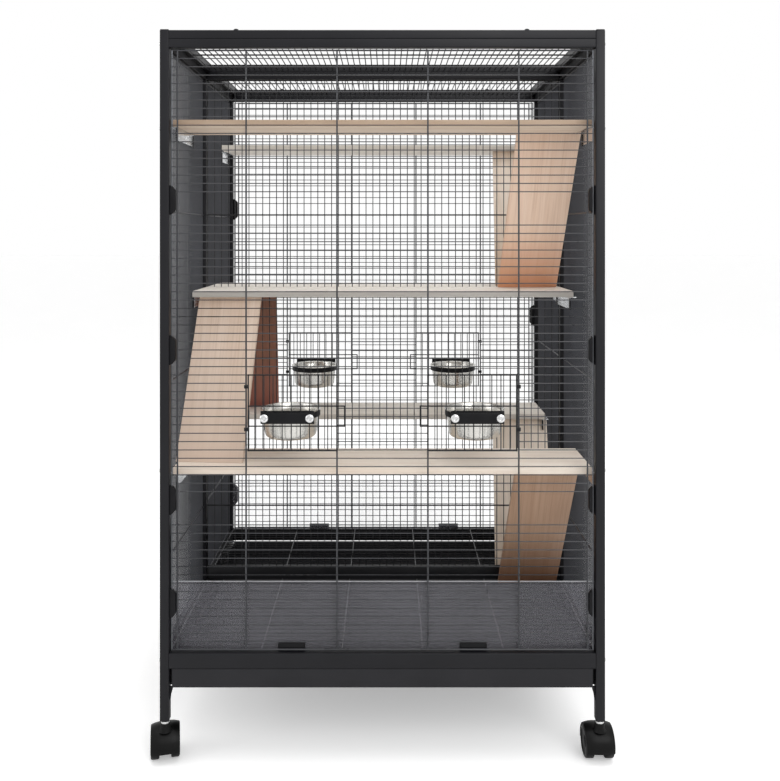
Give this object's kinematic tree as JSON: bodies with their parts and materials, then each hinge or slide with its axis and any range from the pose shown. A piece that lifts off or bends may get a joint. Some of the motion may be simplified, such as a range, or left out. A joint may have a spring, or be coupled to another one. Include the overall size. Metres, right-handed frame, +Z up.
{
  "type": "ferret cage",
  "caption": "Tall two-sided ferret cage on casters: wire mesh walls in a square tube frame, full-height doors, wooden shelves and ramps, swing-out bowls, slide-out tray.",
  "frame": {"origin": "on the floor, under the middle of the cage", "axes": "+Z up, -Y towards the front door, +X to the right as seen from the front"},
  "size_m": [1.0438, 0.8342, 1.608],
  "materials": {
    "frame_paint": "satin",
    "wire_paint": "satin",
    "tray_paint": "satin",
    "ply": "satin",
    "stainless": "polished",
    "black_plastic": "satin",
    "caster_tread": "gloss",
    "clear_acrylic": "clear"
  },
  "bodies": {
    "cage": {"front_hinge_post": "frame_paint", "front_latch_post": "frame_paint", "front_top_rail": "frame_paint", "front_bottom_rail": "frame_paint", "front_roof_panel": "wire_paint", "front_clear_screen": "clear_acrylic", "front_upper_shelf": "ply", "front_middle_shelf": "ply", "front_lower_shelf": "ply", "front_upper_ramp": "ply", "front_middle_ramp": "ply", "front_lower_ramp": "ply", "back_hinge_post": "frame_paint", "back_latch_post": "frame_paint", "back_top_rail": "frame_paint", "back_bottom_rail": "frame_paint", "back_roof_panel": "wire_paint", "back_clear_screen": "clear_acrylic", "back_upper_shelf": "ply", "back_middle_shelf": "ply", "back_lower_shelf": "ply", "back_upper_ramp": "ply", "back_middle_ramp": "ply", "back_lower_ramp": "ply", "left_side_panel": "wire_paint", "left_top_rail": "frame_paint", "left_bottom_rail": "frame_paint", "right_side_panel": "wire_paint", "right_top_rail": "frame_paint", "right_bottom_rail": "frame_paint", "middle_top_rail": "frame_paint", "divider": "wire_paint", "floor_grille": "wire_paint"},
    "front_door": {"front_door": "wire_paint"},
    "front_left_feeder": {"front_left_hatch": "wire_paint", "front_left_bowl_clamp": "black_plastic", "front_left_bowl": "stainless"},
    "front_right_feeder": {"front_right_hatch": "wire_paint", "front_right_bowl_clamp": "black_plastic", "front_right_bowl": "stainless"},
    "back_door": {"back_door": "wire_paint"},
    "back_left_feeder": {"back_left_hatch": "wire_paint", "back_left_bowl_clamp": "black_plastic", "back_left_bowl": "stainless"},
    "back_right_feeder": {"back_right_hatch": "wire_paint", "back_right_bowl_clamp": "black_plastic", "back_right_bowl": "stainless"},
    "tray": {"tray": "tray_paint"},
    "front_left_caster": {"front_left_caster_hood": "black_plastic"},
    "front_left_wheels": {"front_left_caster_wheels": "caster_tread"},
    "front_right_caster": {"front_right_caster_hood": "black_plastic"},
    "front_right_wheels": {"front_right_caster_wheels": "caster_tread"},
    "back_left_caster": {"back_left_caster_hood": "black_plastic"},
    "back_left_wheels": {"back_left_caster_wheels": "caster_tread"},
    "back_right_caster": {"back_right_caster_hood": "black_plastic"},
    "back_right_wheels": {"back_right_caster_wheels": "caster_tread"}
  },
  "joints": [
    {"name": "front_door_hinge", "type": "hinge", "parent": "cage", "child": "front_door", "pos_m": [-0.463, -0.393, 0.9], "axis": [0, 0, 1], "range_deg": [-95, 0]},
    {"name": "front_left_hatch_hinge", "type": "hinge", "parent": "front_door", "child": "front_left_feeder", "pos_m": [-0.3, -0.393, 0.767], "axis": [0, 0, 1], "range_deg": [-100, 0]},
    {"name": "front_right_hatch_hinge", "type": "hinge", "parent": "front_door", "child": "front_right_feeder", "pos_m": [0.3, -0.393, 0.767], "axis": [0, 0, 1], "range_deg": [0, 100]},
    {"name": "back_door_hinge", "type": "hinge", "parent": "cage", "child": "back_door", "pos_m": [0.463, 0.393, 0.9], "axis": [0, 0, 1], "range_deg": [-95, 0]},
    {"name": "back_left_hatch_hinge", "type": "hinge", "parent": "back_door", "child": "back_left_feeder", "pos_m": [0.3, 0.393, 0.767], "axis": [0, 0, 1], "range_deg": [-100, 0]},
    {"name": "back_right_hatch_hinge", "type": "hinge", "parent": "back_door", "child": "back_right_feeder", "pos_m": [-0.3, 0.393, 0.767], "axis": [0, 0, 1], "range_deg": [0, 100]},
    {"name": "tray_slide", "type": "slide", "parent": "cage", "child": "tray", "axis": [0, -1, 0], "range_m": [0, 0.6]},
    {"name": "front_left_caster_swivel", "type": "hinge", "parent": "cage", "child": "front_left_caster", "pos_m": [-0.4775, -0.393, 0.105], "axis": [0, 0, 1], "continuous": true},
    {"name": "front_left_wheel_spin", "type": "hinge", "parent": "front_left_caster", "child": "front_left_wheels", "pos_m": [-0.48234, -0.37359, 0.03309], "axis": [0.9703, 0.2419, 0], "continuous": true},
    {"name": "front_right_caster_swivel", "type": "hinge", "parent": "cage", "child": "front_right_caster", "pos_m": [0.4775, -0.393, 0.105], "axis": [0, 0, 1], "continuous": true},
    {"name": "front_right_wheel_spin", "type": "hinge", "parent": "front_right_caster", "child": "front_right_wheels", "pos_m": [0.4775, -0.373, 0.03309], "axis": [1, 0, 0], "continuous": true},
    {"name": "back_left_caster_swivel", "type": "hinge", "parent": "cage", "child": "back_left_caster", "pos_m": [0.4775, 0.393, 0.105], "axis": [0, 0, 1], "continuous": true},
    {"name": "back_left_wheel_spin", "type": "hinge", "parent": "back_left_caster", "child": "back_left_wheels", "pos_m": [0.48234, 0.37359, 0.03309], "axis": [0.9703, 0.2419, 0], "continuous": true},
    {"name": "back_right_caster_swivel", "type": "hinge", "parent": "cage", "child": "back_right_caster", "pos_m": [-0.4775, 0.393, 0.105], "axis": [0, 0, 1], "continuous": true},
    {"name": "back_right_wheel_spin", "type": "hinge", "parent": "back_right_caster", "child": "back_right_wheels", "pos_m": [-0.4775, 0.373, 0.03309], "axis": [1, 0, 0], "continuous": true}
  ]
}
